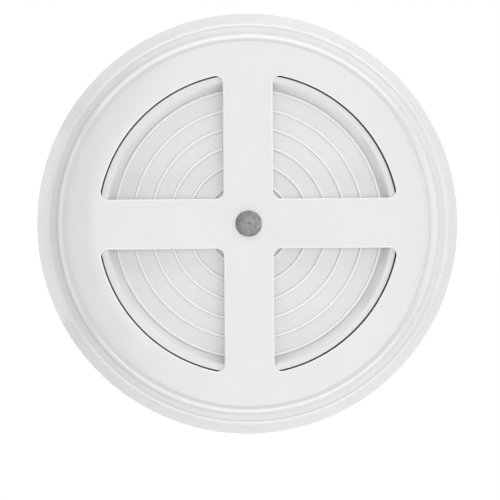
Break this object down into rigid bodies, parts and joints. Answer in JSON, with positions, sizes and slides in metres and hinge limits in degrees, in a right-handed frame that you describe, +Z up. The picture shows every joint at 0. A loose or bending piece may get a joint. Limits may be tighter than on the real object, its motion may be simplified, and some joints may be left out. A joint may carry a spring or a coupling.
{
  "type": "lazy susan turntable",
  "caption": "Round plastic turntable: a lipped tray that spins on a ring of steel balls over a four-spoked base, joined by one central rivet.",
  "frame": {"origin": "on the turning axis, in the plane of the surface that the base stands on", "axes": "+Z up along the turning axis, +X and +Y along the spokes of the base"},
  "size_m": [0.229, 0.229, 0.038],
  "materials": {
    "base_plastic": "white, satin gloss",
    "tray_plastic": "white, satin gloss",
    "bearing_plastic": "natural nylon",
    "rivet_steel": "plain, slightly dull",
    "washer_steel": "plain",
    "ball_steel": "polished stainless"
  },
  "bodies": {
    "base": {"base": "base_plastic", "centre_rivet": "rivet_steel", "thrust_washer": "bearing_plastic", "rivet_washer": "washer_steel"},
    "tray": {"tray": "tray_plastic"},
    "ball_cage": {"ball_cage": "bearing_plastic"},
    "ball_01": {"ball_01": "ball_steel"},
    "ball_02": {"ball_02": "ball_steel"},
    "ball_03": {"ball_03": "ball_steel"},
    "ball_04": {"ball_04": "ball_steel"},
    "ball_05": {"ball_05": "ball_steel"},
    "ball_06": {"ball_06": "ball_steel"},
    "ball_07": {"ball_07": "ball_steel"},
    "ball_08": {"ball_08": "ball_steel"},
    "ball_09": {"ball_09": "ball_steel"},
    "ball_10": {"ball_10": "ball_steel"},
    "ball_11": {"ball_11": "ball_steel"},
    "ball_12": {"ball_12": "ball_steel"},
    "ball_13": {"ball_13": "ball_steel"},
    "ball_14": {"ball_14": "ball_steel"},
    "ball_15": {"ball_15": "ball_steel"},
    "ball_16": {"ball_16": "ball_steel"},
    "ball_17": {"ball_17": "ball_steel"},
    "ball_18": {"ball_18": "ball_steel"},
    "ball_19": {"ball_19": "ball_steel"},
    "ball_20": {"ball_20": "ball_steel"}
  },
  "joints": [
    {"name": "tray_spin", "type": "hinge", "parent": "base", "child": "tray", "pos_m": [0, 0, 0], "axis": [0, 0, 1], "continuous": true},
    {"name": "cage_spin", "type": "hinge", "parent": "base", "child": "ball_cage", "pos_m": [0, 0, 0], "axis": [0, 0, 1], "continuous": true},
    {"name": "ball_01_roll", "type": "hinge", "parent": "ball_cage", "child": "ball_01", "pos_m": [0.091, 0, 0.0045], "axis": [1, 0, 0], "continuous": true},
    {"name": "ball_02_roll", "type": "hinge", "parent": "ball_cage", "child": "ball_02", "pos_m": [0.08655, 0.02812, 0.0045], "axis": [0.9511, 0.309, 0], "continuous": true},
    {"name": "ball_03_roll", "type": "hinge", "parent": "ball_cage", "child": "ball_03", "pos_m": [0.07362, 0.05349, 0.0045], "axis": [0.809, 0.5878, 0], "continuous": true},
    {"name": "ball_04_roll", "type": "hinge", "parent": "ball_cage", "child": "ball_04", "pos_m": [0.05349, 0.07362, 0.0045], "axis": [0.5878, 0.809, 0], "continuous": true},
    {"name": "ball_05_roll", "type": "hinge", "parent": "ball_cage", "child": "ball_05", "pos_m": [0.02812, 0.08655, 0.0045], "axis": [0.309, 0.9511, 0], "continuous": true},
    {"name": "ball_06_roll", "type": "hinge", "parent": "ball_cage", "child": "ball_06", "pos_m": [0, 0.091, 0.0045], "axis": [0, 1, 0], "continuous": true},
    {"name": "ball_07_roll", "type": "hinge", "parent": "ball_cage", "child": "ball_07", "pos_m": [-0.02812, 0.08655, 0.0045], "axis": [-0.309, 0.9511, 0], "continuous": true},
    {"name": "ball_08_roll", "type": "hinge", "parent": "ball_cage", "child": "ball_08", "pos_m": [-0.05349, 0.07362, 0.0045], "axis": [-0.5878, 0.809, 0], "continuous": true},
    {"name": "ball_09_roll", "type": "hinge", "parent": "ball_cage", "child": "ball_09", "pos_m": [-0.07362, 0.05349, 0.0045], "axis": [-0.809, 0.5878, 0], "continuous": true},
    {"name": "ball_10_roll", "type": "hinge", "parent": "ball_cage", "child": "ball_10", "pos_m": [-0.08655, 0.02812, 0.0045], "axis": [-0.9511, 0.309, 0], "continuous": true},
    {"name": "ball_11_roll", "type": "hinge", "parent": "ball_cage", "child": "ball_11", "pos_m": [-0.091, 0, 0.0045], "axis": [-1, 0, 0], "continuous": true},
    {"name": "ball_12_roll", "type": "hinge", "parent": "ball_cage", "child": "ball_12", "pos_m": [-0.08655, -0.02812, 0.0045], "axis": [-0.9511, -0.309, 0], "continuous": true},
    {"name": "ball_13_roll", "type": "hinge", "parent": "ball_cage", "child": "ball_13", "pos_m": [-0.07362, -0.05349, 0.0045], "axis": [-0.809, -0.5878, 0], "continuous": true},
    {"name": "ball_14_roll", "type": "hinge", "parent": "ball_cage", "child": "ball_14", "pos_m": [-0.05349, -0.07362, 0.0045], "axis": [-0.5878, -0.809, 0], "continuous": true},
    {"name": "ball_15_roll", "type": "hinge", "parent": "ball_cage", "child": "ball_15", "pos_m": [-0.02812, -0.08655, 0.0045], "axis": [-0.309, -0.9511, 0], "continuous": true},
    {"name": "ball_16_roll", "type": "hinge", "parent": "ball_cage", "child": "ball_16", "pos_m": [0, -0.091, 0.0045], "axis": [0, -1, 0], "continuous": true},
    {"name": "ball_17_roll", "type": "hinge", "parent": "ball_cage", "child": "ball_17", "pos_m": [0.02812, -0.08655, 0.0045], "axis": [0.309, -0.9511, 0], "continuous": true},
    {"name": "ball_18_roll", "type": "hinge", "parent": "ball_cage", "child": "ball_18", "pos_m": [0.05349, -0.07362, 0.0045], "axis": [0.5878, -0.809, 0], "continuous": true},
    {"name": "ball_19_roll", "type": "hinge", "parent": "ball_cage", "child": "ball_19", "pos_m": [0.07362, -0.05349, 0.0045], "axis": [0.809, -0.5878, 0], "continuous": true},
    {"name": "ball_20_roll", "type": "hinge", "parent": "ball_cage", "child": "ball_20", "pos_m": [0.08655, -0.02812, 0.0045], "axis": [0.9511, -0.309, 0], "continuous": true}
  ],
  "couplings": [
    {"joint": "cage_spin", "follows": "tray_spin", "ratio": 0.5},
    {"joint": "ball_01_roll", "follows": "tray_spin", "ratio": -19.118},
    {"joint": "ball_02_roll", "follows": "tray_spin", "ratio": -19.118},
    {"joint": "ball_03_roll", "follows": "tray_spin", "ratio": -19.118},
    {"joint": "ball_04_roll", "follows": "tray_spin", "ratio": -19.118},
    {"joint": "ball_05_roll", "follows": "tray_spin", "ratio": -19.118},
    {"joint": "ball_06_roll", "follows": "tray_spin", "ratio": -19.118},
    {"joint": "ball_07_roll", "follows": "tray_spin", "ratio": -19.118},
    {"joint": "ball_08_roll", "follows": "tray_spin", "ratio": -19.118},
    {"joint": "ball_09_roll", "follows": "tray_spin", "ratio": -19.118},
    {"joint": "ball_10_roll", "follows": "tray_spin", "ratio": -19.118},
    {"joint": "ball_11_roll", "follows": "tray_spin", "ratio": -19.118},
    {"joint": "ball_12_roll", "follows": "tray_spin", "ratio": -19.118},
    {"joint": "ball_13_roll", "follows": "tray_spin", "ratio": -19.118},
    {"joint": "ball_14_roll", "follows": "tray_spin", "ratio": -19.118},
    {"joint": "ball_15_roll", "follows": "tray_spin", "ratio": -19.118},
    {"joint": "ball_16_roll", "follows": "tray_spin", "ratio": -19.118},
    {"joint": "ball_17_roll", "follows": "tray_spin", "ratio": -19.118},
    {"joint": "ball_18_roll", "follows": "tray_spin", "ratio": -19.118},
    {"joint": "ball_19_roll", "follows": "tray_spin", "ratio": -19.118},
    {"joint": "ball_20_roll", "follows": "tray_spin", "ratio": -19.118}
  ]
}
